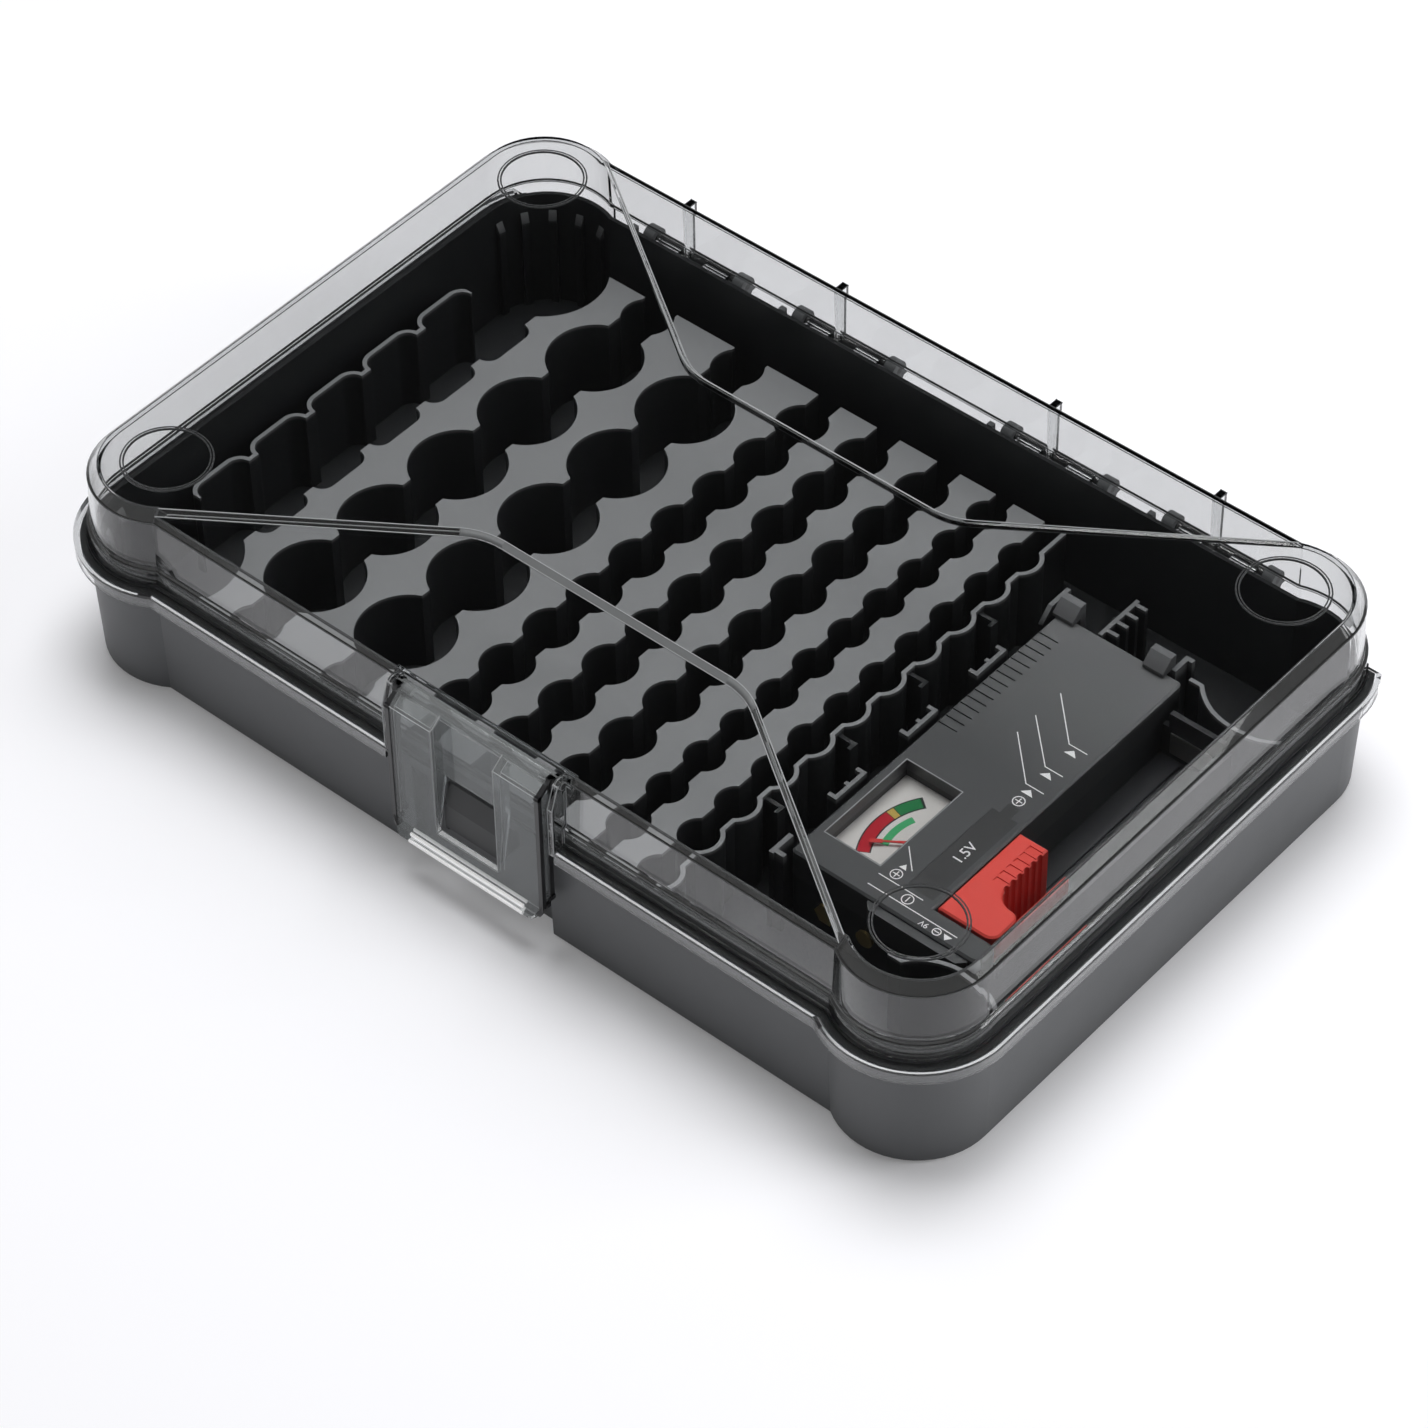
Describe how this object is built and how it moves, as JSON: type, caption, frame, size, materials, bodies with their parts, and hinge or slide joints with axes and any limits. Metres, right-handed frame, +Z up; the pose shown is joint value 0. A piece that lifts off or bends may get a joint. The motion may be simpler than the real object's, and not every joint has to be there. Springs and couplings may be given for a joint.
{
  "type": "battery storage case",
  "caption": "Flat tray with scalloped cell pockets and a battery tester under a clear hinged lid that a swinging front latch holds shut.",
  "frame": {"origin": "middle of the case's footprint, on the surface that the case stands on", "axes": "+X along the case's long side towards the tester, -Y is the latch side, +Y the hinge side, +Z up"},
  "size_m": [0.3056, 0.2017, 0.064],
  "materials": {
    "tray_plastic": "fine satin moulding",
    "tester_plastic": "fine satin moulding",
    "clip_grey": "satin",
    "pin_black": "satin",
    "inlay_black": "smooth",
    "meter_black": "smooth",
    "lid_clear": "polished, faint smoke tint",
    "window_clear": "polished",
    "dial_cream": "printed card",
    "needle_red": "matte paint",
    "slider_red": "satin moulding",
    "contact_steel": "bright plate",
    "contact_brass": "bright",
    "coil_brass": "enamelled wire",
    "magnet_iron": "sintered",
    "resistor_tan": "lacquered body",
    "screw_steel": "zinc plate"
  },
  "bodies": {
    "case": {"base_shell": "tray_plastic", "big_cell_wall_back": "tray_plastic", "big_cell_wall_front": "tray_plastic", "cell_ridge_1": "tray_plastic", "cell_ridge_2": "tray_plastic", "cell_ridge_3": "tray_plastic", "cell_ridge_4": "tray_plastic", "cell_ridge_5": "tray_plastic", "cell_ridge_6": "tray_plastic", "cell_ridge_7": "tray_plastic", "cell_wall_left": "tray_plastic", "cell_wall_right": "tray_plastic", "comb_rib": "tray_plastic", "corner_ribs": "tray_plastic", "cover_inlay": "inlay_black", "dial_plate": "dial_cream", "end_contact": "contact_steel", "hinge_cradles": "tray_plastic", "hinge_pins": "pin_black", "latch_catch": "tray_plastic", "lid_stop_pegs": "tray_plastic", "load_resistor": "resistor_tan", "meter_can": "meter_black", "meter_magnet": "magnet_iron", "meter_window": "window_clear", "nine_volt_contacts": "contact_brass", "tester_clips": "clip_grey", "tester_cover": "tester_plastic", "tester_housing": "tester_plastic", "tester_posts": "tray_plastic", "tester_rails": "tray_plastic", "tester_rests": "tray_plastic", "tester_screws": "screw_steel"},
    "lid": {"lid_shell": "lid_clear", "lid_barrels": "lid_clear", "latch_pins": "pin_black"},
    "latch": {"latch": "lid_clear"},
    "slider": {"slider": "slider_red", "slider_contact": "contact_steel"},
    "needle": {"meter_needle": "needle_red", "moving_coil": "coil_brass"}
  },
  "joints": [
    {"name": "lid_hinge", "type": "hinge", "parent": "case", "child": "lid", "pos_m": [0, 0.0982, 0.0374], "axis": [-1, 0, 0], "range_deg": [0, 100]},
    {"name": "latch_swing", "type": "hinge", "parent": "lid", "child": "latch", "pos_m": [0, -0.092, 0.0596], "axis": [-1, 0, 0], "range_deg": [0, 95]},
    {"name": "slider_slide", "type": "slide", "parent": "case", "child": "slider", "axis": [0, 1, 0], "range_m": [0, 0.04]},
    {"name": "needle_swing", "type": "hinge", "parent": "case", "child": "needle", "pos_m": [0.0886, -0.024, 0.0232], "axis": [0, 0, -1], "range_deg": [0, 70], "stiffness_Nm_per_rad": 0.00002, "springref_deg": -17.19}
  ]
}
